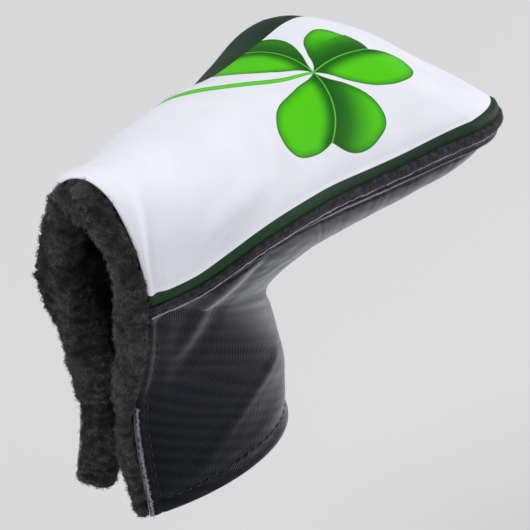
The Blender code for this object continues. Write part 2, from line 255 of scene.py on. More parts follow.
# How the sewn cover settles: its arch leans out over the fleece, the far edge of the opening
# tucks in behind the fleece, the far rim has a hollow and a shoulder, the near seam rides up
# at the heel and the toe, and the toe's front dips.
ARCH_REACH = 16.0
ARCH_OUT = 1.4
ARCH_OUT_AT_TOP = 1.6
ARCH_UP = 1.6
FAR_TUCK = 3.0
FAR_HOLLOW, FAR_HOLLOW_AT, FAR_HOLLOW_REACH = 2.0, 79.0, 14.0
FAR_SHOULDER, FAR_SHOULDER_AT, FAR_SHOULDER_REACH = 3.3, 109.0, 19.0
NEAR_SEAM_LIFT = 0.5
NEAR_HEEL_LIFT = 1.6
NEAR_TOE_LIFT = 2.5
TOE_DIP = 4.5
TOE_FRONT_DROP = 3.0
FAR_HEM_LIFT = 3.0


def settle(at):
    """The places where these points of the design end up in the sewn, stuffed cover."""
    at = np.array(at, float)
    x, y, z = (at[..., k].copy() for k in range(3))
    edge = np.where(z > EDGE_TOP, ARCH_LEAN * z / RIDGE_HEIGHT[0][1], through(EDGE_X, z))
    by_edge = fade(1 - (x - edge) / ARCH_REACH)
    at[..., 0] -= by_edge * (ARCH_OUT + ARCH_OUT_AT_TOP * fade((z - 5) / 28)) * fade((z + 30) / 25)
    at[..., 0] += by_edge * FAR_TUCK * fade((y - 8) / 6) * fade((31 - z) / 6)
    at[..., 2] += by_edge * ARCH_UP * fade((z - 22) / 12)
    far = FAR_SHOULDER * bump((x - FAR_SHOULDER_AT) / FAR_SHOULDER_REACH)
    far -= FAR_HOLLOW * bump((x - FAR_HOLLOW_AT) / FAR_HOLLOW_REACH)
    at[..., 2] += fade(y / 22) * far
    share_out = -y / through(PIPING_HALF_WIDTH, x)
    over_piping = z - through(PIPING_HEIGHT, x)
    near_seam = fade((share_out - 0.62) / 0.25)
    near_seam *= fade((over_piping + 11) / 9) * fade((15 - over_piping) / 12)
    lift = NEAR_SEAM_LIFT + NEAR_HEEL_LIFT * fade((38 - x) / 30)
    at[..., 2] += near_seam * (lift + NEAR_TOE_LIFT * fade((x - 76) / 46))
    toe_front = fade((x - 124) / 14) * fade((y + 34) / 12) * fade((12 - y) / 20)
    at[..., 2] -= toe_front * TOE_FRONT_DROP * fade((7 - over_piping) / 5)
    at[..., 2] += FAR_HEM_LIFT * fade((-52 - z) / 18) * fade(y / 8)
    at[..., 2] -= TOE_DIP * bump((x - 131) / 22) * bump((y + 17) / 22) * fade((z + 5) / 10)
    return at


def to_curve(u, v, knots):
    """Signed distance from each place to a smooth curve, and how far along it that is."""
    steps = np.linspace(0, 1, 120)
    spots = np.linspace(0, 1, len(knots))
    path = np.stack([through(tuple(zip(spots, c)), steps) for c in np.array(knots).T], axis=-1)
    du, dv = u[..., None] - path[:, 0], v[..., None] - path[:, 1]
    nearest = np.hypot(du, dv).argmin(axis=-1)
    ahead = unit(np.gradient(path, axis=0))[nearest]
    du, dv = (np.take_along_axis(d, nearest[..., None], -1)[..., 0] for d in (du, dv))
    side = np.sign(ahead[..., 0] * dv - ahead[..., 1] * du)
    return side * np.hypot(du, dv), steps[nearest]


def arc_lengths(grid, axis):
    """Distance along the grid's rows or columns, from their start."""
    steps = np.linalg.norm(np.diff(grid, axis=axis), axis=-1)
    pad = ((1, 0), (0, 0)) if axis == 0 else ((0, 0), (1, 0))
    return np.pad(np.cumsum(steps, axis=axis), pad)


def spaced(stops, counts):
    """Values from stop to stop, with a count of steps for each stretch."""
    runs = [np.linspace(a, b, n, endpoint=False) for a, b, n in zip(stops, stops[1:], counts)]
    return np.concatenate([*runs, [stops[-1]]])


# Meshes


def grid_faces(index):
    """Quads of a grid of vertex numbers."""
    a, b, c, d = index[:-1, :-1], index[1:, :-1], index[1:, 1:], index[:-1, 1:]
    return np.stack([a, b, c, d], axis=-1).reshape(-1, 4)


def make_piece(name, vertices, faces, look, attributes=None, grown=False):
    """A mesh object from design millimetres, with float attributes on its points.

    A piece grown on a settled one is already in its place.
    """
    mesh = bpy.data.meshes.new(name)
    placed = vertices if grown else settle(vertices)
    placed = (np.asarray(placed, float) - ORIGIN) * MM
    mesh.from_pydata(placed.tolist(), [], [tuple(f) for f in faces])
    for key, values in (attributes or {}).items():
        made = mesh.attributes.new(key, "FLOAT", "POINT")
        made.data.foreach_set("value", np.asarray(values, np.float32).ravel())
    if not grown:
        shape = bmesh.new()
        shape.from_mesh(mesh)
        loose = [v for v in shape.verts if not v.link_faces]
        bmesh.ops.delete(shape, geom=loose, context="VERTS")
        bmesh.ops.dissolve_degenerate(shape, dist=1e-7, edges=shape.edges[:])
        bmesh.ops.recalc_face_normals(shape, faces=shape.faces[:])
        shape.to_mesh(mesh)
        shape.free()
    mesh.shade_smooth()
    mesh.materials.append(look)
    made = bpy.data.objects.new(name, mesh)
    bpy.context.scene.collection.objects.link(made)
    return made


def closed_sheet(outer, inner, index, rim):
    """Vertices and faces of a closed solid between two grids that share vertex numbers."""
    count = outer.shape[0] * outer.shape[1]
    vertices = np.concatenate([outer.reshape(-1, 3), inner.reshape(-1, 3)])
    quads = grid_faces(index)
    rim = np.array([index[i, j] for i, j in rim])
    after = np.roll(rim, -1)
    walls = np.stack([rim, after, after + count, rim + count], axis=-1)
    return vertices, np.concatenate([quads, quads[:, ::-1] + count, walls])


def on_both_faces(fields):
    """The attributes of a sheet's outer grid, given to its inner one too."""
    return {key: np.tile(value.ravel(), 2) for key, value in fields.items()}


def both(front, back):
    """Columns of the front half, then those of the back half, with the middle one shared."""
    return np.concatenate([front, back[:, -2::-1]], axis=1)


def mirrored(half):
    return both(half, half * (1, -1, 1))


def top_layout(rows, half_columns):
    """Vertex numbers of a whole top sheet, whose toe row folds onto itself, and its rim."""
    columns = 2 * half_columns - 1
    index = np.arange(rows * columns).reshape(rows, columns)
    index[0, half_columns:] = index[0, : half_columns - 1][::-1]
    rim = [(i, 0) for i in range(rows)] + [(rows - 1, j) for j in range(1, columns)]
    return index, rim + [(i, columns - 1) for i in range(rows - 2, 0, -1)]


def numbered(grid):
    """A number for each point of a grid."""
    rows, columns = grid.shape[:2]
    return np.arange(rows * columns).reshape(rows, columns)


def perimeter(rows, columns):
    """The rim of a grid, in order."""
    first = [(0, j) for j in range(columns)]
    last = [(rows - 1, j) for j in range(columns)]
    left = [(i, 0) for i in range(1, rows - 1)]
    right = [(i, columns - 1) for i in range(1, rows - 1)]
    return first + right + last[::-1] + left[::-1]


def tubes(paths, radii, sides):
    """Vertices and faces of many closed, tapered tubes. paths is tubes by points by xyz."""
    count, steps = paths.shape[:2]
    ahead = unit(np.gradient(paths, axis=1))
    helper = np.where(np.abs(ahead[..., 2:]) < 0.9, (0.0, 0.0, 1.0), (1.0, 0.0, 0.0))
    one = unit(np.cross(ahead, helper))
    two = np.cross(ahead, one)
    angle = np.arange(sides) * 2 * math.pi / sides
    spoke = np.cos(angle)[:, None] * one[:, :, None] + np.sin(angle)[:, None] * two[:, :, None]
    rings = paths[:, :, None] + spoke * radii[:, :, None, None]
    index = np.arange(count * steps * sides).reshape(count, steps, sides)
    turned = np.roll(index, -1, axis=2)
    a, b, c, d = index[:, :-1], turned[:, :-1], turned[:, 1:], index[:, 1:]
    quads = np.stack([a, b, c, d], axis=-1).reshape(-1, 4).tolist()
    quads += index[:, 0, ::-1].tolist() + index[:, -1].tolist()
    return rings.reshape(-1, 3), quads


# Materials


def new_material(name, roughness=0.8):
    made = bpy.data.materials.new(name)
    made.use_nodes = True
    surface = made.node_tree.nodes["Principled BSDF"]
    surface.inputs["Roughness"].default_value = roughness
    return made, made.node_tree, surface


def node(tree, kind, inputs=None, **settings):
    made = tree.nodes.new(kind)
    for key, value in settings.items():
        setattr(made, key, value)
    for key, value in (inputs or {}).items():
        if isinstance(value, bpy.types.NodeSocket):
            tree.links.new(value, made.inputs[key])
        else:
            made.inputs[key].default_value = value
    return made


def math_node(tree, operation, a, b=0.0, c=0.0):
    return node(tree, "ShaderNodeMath", {0: a, 1: b, 2: c}, operation=operation).outputs[0]


def attribute(tree, name):
    return node(tree, "ShaderNodeAttribute", attribute_name=name).outputs["Fac"]


def ramp(tree, factor, stops):
    made = node(tree, "ShaderNodeValToRGB", {"Fac": factor})
    elements = made.color_ramp.elements
    while len(elements) < len(stops):
        elements.new(0.5)
    for element, (position, colour) in zip(elements, stops):
        element.position = position
        element.color = (*colour, 1)
    return made.outputs["Color"]


def mix(tree, factor, a, b):
    made = node(tree, "ShaderNodeMix", {"Factor": factor}, data_type="RGBA")
    for socket, value in ((made.inputs[6], a), (made.inputs[7], b)):
        if isinstance(value, bpy.types.NodeSocket):
            tree.links.new(value, socket)
        else:
            socket.default_value = (*value, 1)
    return made.outputs[2]


def map_range(tree, value, start, end, to_start=0.0, to_end=1.0, kind="LINEAR"):
    inputs = {"Value": value, "From Min": start, "From Max": end, "To Min": to_start, "To Max": to_end}
    return node(tree, "ShaderNodeMapRange", inputs, interpolation_type=kind).outputs["Result"]


def below(tree, value, limit, softness):
    """1 where the value is under the limit, 0 where it is over, over a short step."""
    return map_range(tree, value, limit - softness, limit + softness, 1.0, 0.0, "SMOOTHSTEP")


def rgb(text):
    """Linear colour from an sRGB hex string."""
    values = np.array([int(text[i : i + 2], 16) for i in (0, 2, 4)]) / 255
    return tuple(np.where(values <= 0.04045, values / 12.92, ((values + 0.055) / 1.055) ** 2.4))


def noise(tree, scale, detail=3.0, vector=None):
    inputs = {"Scale": scale, "Detail": detail, "Roughness": 0.55}
    if vector is not None:
        inputs["Vector"] = vector
    return node(tree, "ShaderNodeTexNoise", inputs).outputs["Fac"]


def add_bump(tree, surface, height, strength, distance):
    made = node(tree, "ShaderNodeBump", {"Height": height, "Strength": strength, "Distance": distance})
    tree.links.new(made.outputs["Normal"], surface.inputs["Normal"])


def object_place(tree):
    return node(tree, "ShaderNodeTexCoord").outputs["Object"]


def fabric_place(tree, scale=1.0):
    u = math_node(tree, "MULTIPLY", attribute(tree, "fabric_u"), scale)
    v = math_node(tree, "MULTIPLY", attribute(tree, "fabric_v"), scale)
    return node(tree, "ShaderNodeCombineXYZ", {"X": u, "Y": v}).outputs["Vector"]


def printed_fabric():
    """White polyester with a dark green border and a three-leafed clover printed on it."""
    made, tree, surface = new_material("printed_polyester", 0.62)
    cloud = noise(tree, 0.06, 2.0, fabric_place(tree))
    white = ramp(tree, cloud, ((0.3, rgb("E9E9F3")), (0.7, rgb("EFEFF8"))))
    tone = attribute(tree, "leaf_tone")
    leaf = ramp(
        tree,
        tone,
        ((0.0, rgb("114D07")), (0.3, rgb("20750B")), (0.62, rgb("38A50A")), (1.0, rgb("52CC0A"))),
    )
    stem = math_node(tree, "ABSOLUTE", attribute(tree, "stem"))
    stalk = ramp(tree, stem, ((0.0, rgb("62D936")), (0.8, rgb("4CC428")), (1.0, rgb("2F8F22"))))
    colour = mix(tree, below(tree, stem, 1.0, 0.07), white, stalk)
    rim = below(tree, attribute(tree, "leaf"), -0.35, 0.28)
    inside = below(tree, attribute(tree, "leaf"), 0.0, 0.07)
    colour = mix(tree, inside, colour, mix(tree, rim, rgb("23701A"), leaf))
    vein = math_node(tree, "ABSOLUTE", attribute(tree, "vein"))
    vein = math_node(tree, "MULTIPLY", inside, below(tree, vein, 0.2, 0.12))
    colour = mix(tree, vein, colour, rgb("63C63C"))
    mottle = noise(tree, 1.2, 4.0, fabric_place(tree))
    border = ramp(tree, mottle, ((0.3, rgb("1D3A24")), (0.7, rgb("25452B"))))
    # Painted shade: the border is coloured darker towards the toe, standing in for the shadow of its rolled
    # edge there.
    toeward = map_range(tree, attribute(tree, "fabric_u"), 60.0, 140.0)
    border = mix(tree, math_node(tree, "MULTIPLY", toeward, 0.75), border, rgb("10241A"))
    colour = mix(tree, below(tree, attribute(tree, "border"), 0.0, 0.09), colour, border)
    tree.links.new(colour, surface.inputs["Base Color"])
    thread_pitch = 0.42
    threads = fabric_place(tree, 1 / thread_pitch)
    weave = {"Vector": threads, "Scale": 1.0, "Distortion": 1.2, "Detail": 2.0}
    weave = node(tree, "ShaderNodeTexWave", weave)
    weave.bands_direction = "DIAGONAL"
    add_bump(tree, surface, weave.outputs["Fac"], 0.22, 0.00006)
    surface.inputs["Specular IOR Level"].default_value = 0.12
    return made


def carbon_leatherette():
    """Black leatherette embossed with the fine ribs and slanting rows of a carbon twill."""
    made, tree, surface = new_material("carbon_leatherette", 0.42)
    u, v = attribute(tree, "fabric_u"), attribute(tree, "fabric_v")
    row_height, tow_width, rib_pitch = 1.05, 1.8, 0.63
    row = math_node(tree, "DIVIDE", v, row_height)
    row_number = math_node(tree, "FLOOR", row)
    shifted = math_node(tree, "ADD", math_node(tree, "DIVIDE", u, tow_width), row_number)
    twill = math_node(tree, "PINGPONG", math_node(tree, "DIVIDE", shifted, 2.0), 1.0)
    over = map_range(tree, twill, 0.15, 0.85, kind="SMOOTHSTEP")
    gap = math_node(tree, "ABSOLUTE", math_node(tree, "SUBTRACT", math_node(tree, "FRACT", row), 0.5))
    gap = map_range(tree, gap, 0.36, 0.5)
    ribs = math_node(tree, "SINE", math_node(tree, "MULTIPLY", u, 2 * math.pi / rib_pitch))
    ribs = math_node(tree, "MULTIPLY_ADD", ribs, 0.5, 0.5)
    grain = noise(tree, 2600.0, 3.0, object_place(tree))
    height = math_node(tree, "MULTIPLY_ADD", ribs, 0.75, math_node(tree, "MULTIPLY", over, 0.5))
    height = math_node(tree, "SUBTRACT", height, math_node(tree, "MULTIPLY", gap, 0.1))
    height = math_node(tree, "MULTIPLY_ADD", grain, 0.25, height)
    add_bump(tree, surface, height, 0.75, 0.00012)
    tone = math_node(tree, "MULTIPLY_ADD", over, 0.32, math_node(tree, "MULTIPLY", ribs, 0.42))
    tone = math_node(tree, "MULTIPLY_ADD", noise(tree, 60.0, 3.0, object_place(tree)), 0.3, tone)
    colour = ramp(tree, tone, ((0.1, rgb("04060B")), (0.55, rgb("0A0D15")), (0.95, rgb("1D222D"))))
    # Pale grey specks along the panel's rolled cut edges, within about a millimetre of the edge.
    pale_edge_specks = math_node(tree, "MULTIPLY", attribute(tree, "pale_edge_specks"), noise(tree, 900.0, 4.0, object_place(tree)))
    pale_edge_specks = below(tree, pale_edge_specks, 0.34, 0.1)
    colour = mix(tree, pale_edge_specks, rgb("6C6F78"), colour)
    tree.links.new(colour, surface.inputs["Base Color"])
    rough = math_node(tree, "MULTIPLY_ADD", over, -0.1, 0.46)
    tree.links.new(rough, surface.inputs["Roughness"])
    facing = node(tree, "ShaderNodeLayerWeight", {"Blend": 0.5}).outputs["Facing"]
    gloss = map_range(tree, facing, 0.45, 0.95, 0.12, 0.8)
    tree.links.new(gloss, surface.inputs["Specular IOR Level"])
    sheen = map_range(tree, facing, 0.5, 0.9, 0.03, 1.0)
    tree.links.new(sheen, surface.inputs["Sheen Weight"])
    surface.inputs["Sheen Roughness"].default_value = 0.3
    surface.inputs["Sheen Tint"].default_value = (0.9, 0.93, 1.0, 1.0)
    return made


def fleece_material(name, dark, middle, light, scale=900.0):
    """Charcoal pile: painted shade from the shade attribute, darker in the pile's hollows and partly
    random, mixed with a fine mottle.
    """
    made, tree, surface = new_material(name, 1.0)
    mottle = noise(tree, scale, 4.0, object_place(tree))
    # The shade attribute holds painted shade: points and strands low in the hollows of the pile are
    # coloured darker.
    shade = math_node(tree, "MULTIPLY", attribute(tree, "shade"), 0.7)
    tone = math_node(tree, "MULTIPLY_ADD", mottle, 0.5, shade)
    colour = ramp(tree, tone, ((0.2, rgb(dark)), (0.55, rgb(middle)), (0.95, rgb(light))))
    tree.links.new(colour, surface.inputs["Base Color"])
    add_bump(tree, surface, mottle, 0.6, 0.0003)
    surface.inputs["Specular IOR Level"].default_value = 0.1
    surface.inputs["Sheen Weight"].default_value = 0.1
    surface.inputs["Sheen Roughness"].default_value = 0.6
    return made


def thread_material(name, colour, roughness=0.6):
    """Twisted sewing thread."""
    made, tree, surface = new_material(name, roughness)
    twist = {"Vector": object_place(tree), "Scale": 900.0, "Distortion": 2.0, "Detail": 1.0}
    twist = node(tree, "ShaderNodeTexWave", twist)
    twist.bands_direction = "DIAGONAL"
    dim = tuple(0.5 * c for c in rgb(colour))
    shade = ramp(tree, twist.outputs["Fac"], ((0.1, dim), (0.8, rgb(colour))))
    tree.links.new(shade, surface.inputs["Base Color"])
    add_bump(tree, surface, twist.outputs["Fac"], 0.6, 0.0001)
    return made


def foam_material():
    made, tree, surface = new_material("open_cell_foam", 0.95)
    cells = node(tree, "ShaderNodeTexVoronoi", {"Vector": object_place(tree), "Scale": 1400.0})
    shade = ramp(tree, cells.outputs["Distance"], ((0.0, rgb("8F8A78")), (0.5, rgb("CFC9B6"))))
    tree.links.new(shade, surface.inputs["Base Color"])
    add_bump(tree, surface, cells.outputs["Distance"], 0.7, 0.0003)
    return made


def nickel_material():
    made, tree, surface = new_material("nickel_plate", 0.3)
    scratches = noise(tree, 700.0, 6.0, object_place(tree))
    shade = ramp(tree, scratches, ((0.3, rgb("8C8C90")), (0.7, rgb("C9C9CC"))))
    tree.links.new(shade, surface.inputs["Base Color"])
    rough = math_node(tree, "MULTIPLY_ADD", scratches, 0.3, 0.15)
    tree.links.new(rough, surface.inputs["Roughness"])
    surface.inputs["Metallic"].default_value = 1.0
    add_bump(tree, surface, scratches, 0.15, 0.00005)
    return made


PRINTED = printed_fabric()
LEATHERETTE = carbon_leatherette()
FLEECE_LOOK = fleece_material("charcoal_fleece", "0E0E0F", "232222", "3D3B3C")
PILE_LOOK = fleece_material("charcoal_pile", "151415", "3C3A3B", "6E6A6B")
PIPING_LOOK = fleece_material("piping_plush", "101011", "232226", "4A494E", 1500.0)
DARK_THREAD = thread_material("dark_thread", "0B0B0D")
PALE_THREAD = thread_material("pale_raw_edge", "C4C4CE", 0.8)
FOAM_LOOK = foam_material()
NICKEL = nickel_material()
COTTON = thread_material("twisted_cotton", "C9C2B0", 0.9)


# Print on the top panel, in fabric millimetres: u along the cover, v across from the ridge.
CLOVER_CENTRE = np.array((89.7, -7.9))
# Each leaf has its axis in degrees, the bow of its vein in mm, which of its sides is lit, and
# the reach of its clockwise and anticlockwise lobes at some angles from the axis.
LEAVES = (
    (
        (-128.5, 2.6, -1),
        ((0, 24.5), (11, 30), (22, 33.5), (33, 30), (45, 20)),
        ((0, 24.5), (13, 27), (38, 26), (56, 22.5), (68, 15)),
    ),
    (
        (-5.6, 1.5, -1),
        ((0, 23.5), (8, 32.5), (14, 33), (32, 27.5), (46, 14)),
        ((0, 23.5), (14, 26), (28, 27.5), (41, 25), (52, 17)),
    ),
    (
        (89.3, -1.2, 1),
        ((0, 26.5), (12, 26.5), (24, 21.5), (32, 16)),
        ((0, 26.5), (10, 30), (17, 30.5), (34, 24), (48, 13)),
    ),
)
STEM_PATH = ((89.7, -7.9), (79, -3.5), (70, 5), (63, 16), (58, 31))
STEM_HALF_WIDTH = (0.5, 2.1)


def leaf_fields(u, v, style, clockwise, anticlockwise):
    """Signed distance to one leaf's outline, place across its vein, and its tone."""
    axis, bow, lit = style
    turn = math.radians(axis)
    du, dv = u - CLOVER_CENTRE[0], v - CLOVER_CENTRE[1]
    along = du * math.cos(turn) + dv * math.sin(turn)
    aside = dv * math.cos(turn) - du * math.sin(turn)
    radius, angle = np.hypot(along, aside), np.degrees(np.arctan2(aside, along))

    def reach(angle):
        return np.where(angle < 0, through(clockwise, -angle), through(anticlockwise, angle))

    limit = np.where(angle < 0, clockwise[-1][0], anticlockwise[-1][0])
    limit = limit * (0.75 + 0.25 * fade(radius / 9))
    steep = np.degrees(reach(angle + 0.5) - reach(angle - 0.5)) / np.maximum(reach(angle), 1.0)
    tip = (radius - reach(angle)) / np.sqrt(1 + steep**2)
    flank = np.radians(np.abs(angle) - limit) * radius
    softness = 1.2
    gap = fade((softness - np.abs(tip - flank)) / softness) * softness / 4
    distance = np.maximum(tip, flank) + gap
    share = np.clip(along / clockwise[0][1], 0, 1)
    across = aside - bow * 4 * share * (1 - share)
    width = np.where(across * lit > 0, 5.0, 15.0)
    tone = 0.1 + 0.9 * fade(np.abs(across) / width)
    tone *= 0.62 + 0.38 * fade(-distance / 2.8)
    tone *= 0.6 + 0.4 * fade(radius / 8)
    return distance, across, tone


def print_fields(u, v):
    """Attributes of the printed clover at these places of the fabric."""
    fields = np.stack([leaf_fields(u, v, *leaf) for leaf in LEAVES])
    nearest = fields[:, 0].argmin(axis=0)[None, None]
    leaf, vein, tone = np.take_along_axis(fields, nearest, 0)[0]
    gap, share = to_curve(u, v, STEM_PATH)
    half_width = STEM_HALF_WIDTH[0] + (STEM_HALF_WIDTH[1] - STEM_HALF_WIDTH[0]) * share
    return {"leaf": leaf, "vein": vein, "leaf_tone": tone, "stem": gap / half_width}


# Panels, with their flat fabric coordinates in millimetres

BORDER_WIDTH = ((0, 4.6), (20, 4.6), (45, 5), (95, 4.8), (120, 5.4), (138, 5.4), (144.5, 3.6))
# On the far side the border sweeps up over the shoulder in a crescent, to this far from the ridge.
CRESCENT_REACH = ((44, 38), (58, 27.5), (72, 21), (100, 15.5), (116, 17), (131, 25.5), (144.5, 38))


def rounded(depth_to_edge, radius):
    """How far a rolled edge of this radius has turned in, at this distance from the edge."""
    short = np.clip(radius - depth_to_edge, 0, radius)
    return radius - np.sqrt(radius**2 - short**2)


PULL_FOLD = ((14, -37), (30, -31), (46, -27.5), (60, -17))


def top_relief(grid, u, v, e, arch):
    """How far the printed cloth stands out: e and arch are distances from piping and arch."""
    # The border is a roll that tucks into the seam.
    out = (0.75 + 0.5 * fade((u - 100) / 40)) * np.sin(np.pi * np.clip(e / 6.0, 0, 1)) ** 1.3
    out -= 0.55 * fade(1 - e / 1.3)
    # A hem round the arch stands over a valley, deepest low on each side.
    low = fade(np.abs(v) / 34)
    valley = 11.0 - 8.5 * low
    out -= (0.5 + 0.7 * low) * bump((arch - valley) / (5 - 2 * low)) * fade(e / 6)
    out += 0.45 * bump((arch - 0.45 * valley) / 4) * fade(e / 6)
    # One long soft fold pulls from the near rim up towards the clover.
    below_fold, _ = to_curve(u, v, PULL_FOLD)
    strength = fade((u - 14) / 12) * fade((64 - u) / 14)
    out += strength * (0.95 * bump((below_fold - 4) / 6) - 0.8 * bump((below_fold + 2) / 5))
    slack = fade(e / 9) * fade(arch / 8)
    return out + slack * (0.3 * lumps(grid, 19.0, 3) + 0.12 * lumps(grid, 8.5, 4))


def build_top_skin():
    station = spaced((0, TOE_CORNER, BELLY_STATION, HEEL_STATION), (84, 78, 128))
    t = np.linspace(0, 1, 70)
    half = top_surface(station, t)
    normal = inward(half)
    from_piping = arc_lengths(half, 1)
    across = arc_lengths(half[:, ::-1, 1:], 1)[:, ::-1]
    edge_lean = ARCH_LEAN * half[..., 2] / RIDGE_HEIGHT[0][1]
    from_arch = half[..., 0] - edge_lean.clip(0)

    grid, normals = mirrored(half), mirrored(normal)
    e, arch = both(from_piping, from_piping), both(from_arch, from_arch)
    v = both(-across, across)
    u = grid[..., 0].copy()

    out = top_relief(grid, u, v, e, arch)
    roll = rounded(arch.clip(0), 1.1)
    outer = grid - normals * (out - roll)[..., None]
    inner = grid + normals * np.maximum(SKIN - out * 0.6, roll + 0.35)[..., None]

    vertices, faces = closed_sheet(outer, inner, *top_layout(len(station), len(t)))
    border = np.minimum(e - through(BORDER_WIDTH, u), through(CRESCENT_REACH, u) - v)
    fields = {"fabric_u": u, "fabric_v": v, "border": border, **print_fields(u, v)}
    fields = on_both_faces(fields)
    skin = make_piece("top_panel", vertices, faces, PRINTED, fields)
    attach(skin, "cover")
    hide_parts("top_shell")


def fabric_of_side(grid, normal):
    """Flat cutting coordinates of the side panel: u level, v down, both in millimetres."""
    step = np.diff(grid, axis=1)
    middle = (normal[:, 1:] + normal[:, :-1]) / 2
    level = middle[..., 0] ** 2 / (middle[..., 0] ** 2 + middle[..., 2] ** 2 + 1e-6)
    du = np.sign(step[..., 0] + 1e-9) * np.sqrt(step[..., 0] ** 2 + level * step[..., 1] ** 2)
    dv = np.sign(step[..., 2] + 1e-9) * np.sqrt(step[..., 2] ** 2 + (1 - level) * step[..., 1] ** 2)
    u = grid[:, :1, 0] + np.pad(np.cumsum(du, axis=1), ((0, 0), (1, 0)))
    v = grid[:, :1, 2] + np.pad(np.cumsum(dv, axis=1), ((0, 0), (1, 0)))
    return u, v


def bend_across_fold(piece, side):
    """Bakes a panel's placement into its mesh; the bend from the cover into its closing flap is worked out
    here but not applied.
    """
    facing = (1, side, 1)
    middle = (FOLD_TOP + FOLD_FOOT) / 2 * facing
    along = unit((FOLD_FOOT - FOLD_TOP) * (1, 0, 1))
    towards_flap = np.array((along[2], 0, -along[0]))
    if towards_flap[0] > 0:
        towards_flap = -towards_flap
    start, end = middle - towards_flap * BEND_BEFORE, middle + towards_flap * BEND_AFTER
    start, end = ((p - ORIGIN) * MM for p in (start, end))
    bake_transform(piece)


SIDE_STATIONS = spaced((0, TOE_CORNER, BELLY_STATION, HEEL_STATION, HEM_STATION), (70, 70, 120, 110))
SIDE_ARC = np.linspace(0, 1, 100)
HEM_WIDTH = 4.6
OPENING_HEM_WIDTH = 3.5
PULL_RIDGE = ((40, 4), (25, -6), (11, -16))
NECK_CREASE = ((50, -42), (34, -51), (17, -62))


def side_fields(station, t):
    """The side surface, its normals, and distances from its edges."""
    grid = side_surface(station, t)
    normal = inward(grid)
    from_start = arc_lengths(grid, 1)
    on_piping = 1 - fade((station - HEEL_STATION) / 0.6)[:, None]
    above_hem = np.broadcast_to((grid[..., 2] - HEM_HEIGHT), from_start.shape)
    return grid, normal, from_start, on_piping, above_hem


def side_relief(grid, station, t, from_start, on_piping, above_hem):
    """How far the leatherette stands out of its design surface, in millimetres."""
    run = arc_lengths(grid, 0)[:, :1]
    to_seam = from_start[:, -1:] - from_start
    opening = 1 - on_piping
    toeward = fade((grid[..., 0] - 70) / 50)
    lip = (0.6 + 0.6 * toeward) * bump((from_start - 2.4) / 2.2) - 0.45 * fade(1 - from_start / 1.1)
    lip = lip - 0.3 * bump((from_start - 5.2) / 1.4)
    out = lip * on_piping
    gather = lumps(points(run, 0, 0), 2.9, 11) + 0.6 * lumps(points(run, 0, 3), 1.7, 12)
    station = station[:, None]
    head = fade((HEEL_STATION - 4.5 - station) / 2) * fade(from_start / 3)
    out = out + 0.06 * gather * head
    corner = bump((station - 15.8) / 3.0) * fade(from_start / 4) * fade((0.55 - t) / 0.3)
    pleats = lumps(points(run * 0.4, grid[..., 2], 1), 2.3, 13)
    out = out + 0.3 * pleats * corner
    out = out + 0.3 * lumps(grid, 23.0, 15) * fade(from_start / 8)
    x, z = grid[..., 0], grid[..., 2]
    over, _ = to_curve(x, z, PULL_RIDGE)
    strength = fade((x - 9) / 8) * fade((44 - x) / 8) * fade(from_start / 3)
    out = out + strength * (0.6 * bump((over - 0.5) / 6) - 0.3 * bump((over - 8) / 6))
    beyond, _ = to_curve(x, z, NECK_CREASE)
    strength = fade((x - 12) / 10) * fade((-36 - z) / 8) * fade(above_hem / 6)
    out = out - strength * 0.9 * fade(beyond / 12) + strength * 0.3 * bump(beyond / 4)
    groove = bump((from_start - OPENING_HEM_WIDTH) / 0.9) * opening
    out = out - 0.32 * groove - 0.32 * bump((above_hem - HEM_WIDTH) / 0.9)
    out = out - 0.4 * fade(1 - to_seam / 1.2) + 0.15 * bump((to_seam - 2) / 1.6)
    pad = fade((from_start - OPENING_HEM_WIDTH - 0.5) / 4) * fade((above_hem - HEM_WIDTH - 0.5) / 4)
    out = out + 0.35 * pad * opening
    hem = 0.22 * bump((from_start - 1.8) / 1.6) * opening + 0.22 * bump((above_hem - 2.3) / 2.0)
    return out + hem


def build_side_skin(side, word):
    station, t = SIDE_STATIONS, SIDE_ARC
    grid, normal, from_start, on_piping, above_hem = side_fields(station, t)
    out = side_relief(grid, station, t, from_start, on_piping, above_hem)
    edge = np.minimum(from_start + 50 * on_piping, above_hem)
    roll = rounded(edge.clip(0), 0.9)
    outer = grid - normal * (out - roll)[..., None]
    inner = grid + normal * np.maximum(SKIN - 0.5 * out, roll + 0.3)[..., None]
    drop = np.zeros_like(grid)
    drop[..., 2] = -1.5 * on_piping * (1 - np.clip(from_start / 6, 0, 1))
    u, v = fabric_of_side(grid, normal)
    outer, inner = ((g + drop) * (1, -side, 1) for g in (outer, inner))
    vertices, faces = closed_sheet(outer, inner, numbered(grid), perimeter(*grid.shape[:2]))
    # Closeness to the rolled cut edges, where the pale grey specks are coloured in.
    pale_edge_specks = fade(1 - edge / 1.2)
    fields = {"fabric_u": u, "fabric_v": v, "pale_edge_specks": pale_edge_specks}
    fields = on_both_faces(fields)
    skin = make_piece(f"{word}_side_panel", vertices, faces, LEATHERETTE, fields)
    bend_across_fold(skin, side)
    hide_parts(f"{word}_side_shell", f"{word}_flap_shell")


# Padding


def build_top_foam():
    station = spaced((0, TOE_CORNER, BELLY_STATION, HEEL_STATION - 0.2), (24, 24, 40))
    t = np.linspace(0.02, 1, 26)
    half = top_surface(station, t)
    normal = inward(half)
    swell = 0.12 * lumps(half, 6.0, 21)[..., None]
    sheets = [half + normal * (FOAM_DEPTH + swell), half + normal * (FOAM_DEPTH + FOAM + swell)]
    solid = closed_sheet(*map(mirrored, sheets), *top_layout(len(station), len(t)))
    foam = make_piece("top_padding", *solid, FOAM_LOOK)
    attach(foam, "cover")
    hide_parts("top_foam")


